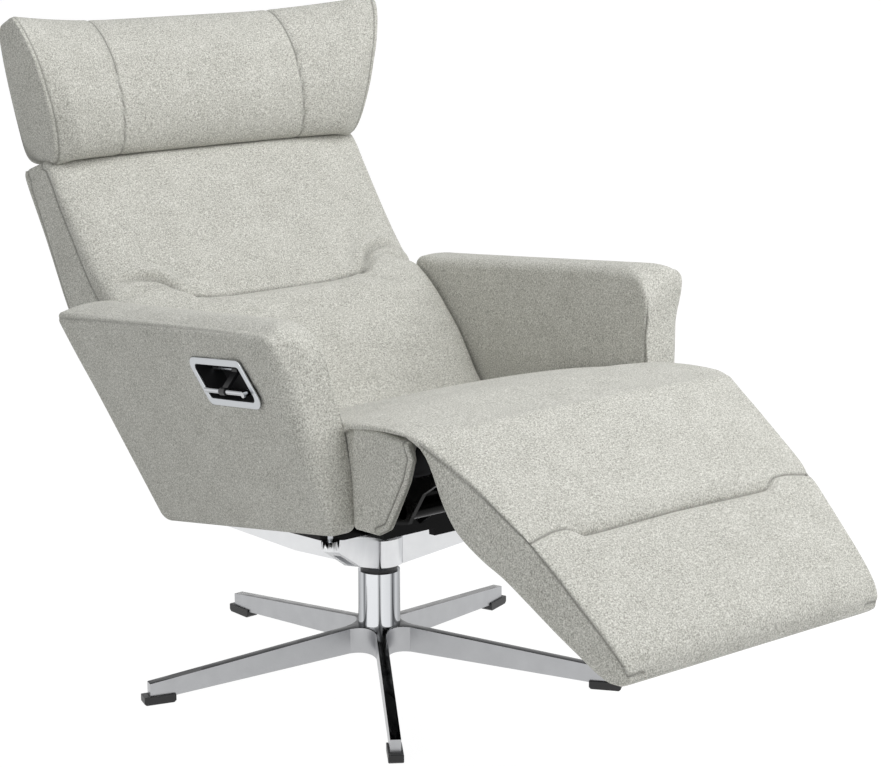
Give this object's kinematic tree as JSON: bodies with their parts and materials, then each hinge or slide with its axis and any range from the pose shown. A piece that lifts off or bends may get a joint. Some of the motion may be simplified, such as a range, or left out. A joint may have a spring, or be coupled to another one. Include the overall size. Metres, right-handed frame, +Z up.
{
  "type": "swivel recliner",
  "caption": "Fabric recliner on a swivelling star base, with flared arms, a winged tilting headrest and a padded footrest that rises as the back leans.",
  "frame": {"origin": "on the swivel axis at floor level, the middle of the circle of glides", "axes": "+Z up, the front is -Y, the sitter's right is -X"},
  "size_m": [0.6944, 1.2273, 0.8892],
  "materials": {
    "polished_aluminium": "polished cast aluminium with satin flanks",
    "chrome": "bright chrome",
    "black_plastic": "fine matt black",
    "pale_plastic": "natural nylon",
    "zinc_steel": "zinc-plated steel",
    "satin_metal": "satin nickel",
    "gloss_black_metal": "gloss black powder coat",
    "webbing": "woven elastic webbing",
    "board": "plywood under a dark lining cloth",
    "cover_fabric": "light warm-grey melange wool cloth"
  },
  "bodies": {
    "base": {"star_base": "polished_aluminium", "foot_glides": "black_plastic", "column_tube": "chrome", "lower_bush": "black_plastic", "upper_bush": "black_plastic", "thrust_washer": "pale_plastic"},
    "swivel": {"retaining_washer": "zinc_steel", "spindle": "chrome", "spindle_bolt": "zinc_steel", "yoke": "polished_aluminium", "mechanism_base": "gloss_black_metal", "yoke_bolts": "zinc_steel", "tilt_pins": "zinc_steel"},
    "seat": {"seat_side_plates": "gloss_black_metal", "seat_cross_tubes": "gloss_black_metal", "knee_tube": "gloss_black_metal", "tilt_rails": "gloss_black_metal", "recline_pins": "zinc_steel", "seat_webbing": "webbing", "arm_brackets": "gloss_black_metal", "arm_bolts": "zinc_steel", "gas_spring_bracket": "gloss_black_metal", "gas_spring_cylinder": "gloss_black_metal", "seat_cushion": "cover_fabric", "left_cheek": "cover_fabric", "right_cheek": "cover_fabric", "left_arm": "cover_fabric", "right_arm": "cover_fabric", "handle_cup": "black_plastic", "handle_bezel": "satin_metal", "lever_pin": "zinc_steel"},
    "backrest": {"back_frame": "gloss_black_metal", "crank_shaft": "zinc_steel", "back_cushion": "cover_fabric", "back_shell": "cover_fabric", "headrest_hinges": "gloss_black_metal", "headrest_pins": "zinc_steel"},
    "headrest": {"headrest_plate": "board", "headrest": "cover_fabric"},
    "footrest": {"footrest_frame": "gloss_black_metal", "footrest_board": "board", "footrest_cushion": "cover_fabric"},
    "push_rods": {"push_rods": "gloss_black_metal"},
    "gas_rod": {"gas_spring_rod": "chrome"},
    "release_lever": {"lever_arm": "black_plastic", "lever_bar": "satin_metal"}
  },
  "joints": [
    {"name": "swivel", "type": "hinge", "parent": "base", "child": "swivel", "pos_m": [0, 0, 0.05], "axis": [0, 0, 1], "continuous": true},
    {"name": "seat_tilt", "type": "hinge", "parent": "swivel", "child": "seat", "pos_m": [0, -0.185, 0.296], "axis": [-1, 0, 0], "range_deg": [-4.85, 2.45]},
    {"name": "recline", "type": "hinge", "parent": "seat", "child": "backrest", "pos_m": [0, 0.095, 0.325], "axis": [-1, 0, 0], "range_deg": [-16, 8]},
    {"name": "headrest_tilt", "type": "hinge", "parent": "backrest", "child": "headrest", "pos_m": [0, 0.41201, 0.715], "axis": [-1, 0, 0], "range_deg": [-10, 12]},
    {"name": "footrest_lift", "type": "hinge", "parent": "seat", "child": "footrest", "pos_m": [0, -0.392, 0.412], "axis": [-1, 0, 0], "range_deg": [-48.2, 24.2]},
    {"name": "push_rod_swing", "type": "hinge", "parent": "backrest", "child": "push_rods", "pos_m": [0, 0.075, 0.255], "axis": [-1, 0, 0], "range_deg": [-8.1, 16.1]},
    {"name": "gas_rod_slide", "type": "slide", "parent": "seat", "child": "gas_rod", "axis": [0, 0.9862, -0.1657], "range_m": [-0.0104, 0.0206]},
    {"name": "lever_pull", "type": "hinge", "parent": "seat", "child": "release_lever", "pos_m": [-0.31367, -0.12984, 0.49714], "axis": [0.0305, 0.991, -0.1305], "range_deg": [0, 18], "stiffness_Nm_per_rad": 0.5, "springref_deg": -20.05}
  ],
  "couplings": [
    {"joint": "seat_tilt", "follows": "recline", "ratio": 0.3},
    {"joint": "footrest_lift", "follows": "recline", "ratio": 3},
    {"joint": "push_rod_swing", "follows": "recline", "ratio": -0.985},
    {"joint": "gas_rod_slide", "follows": "recline", "m_per_rad": -0.07236}
  ]
}
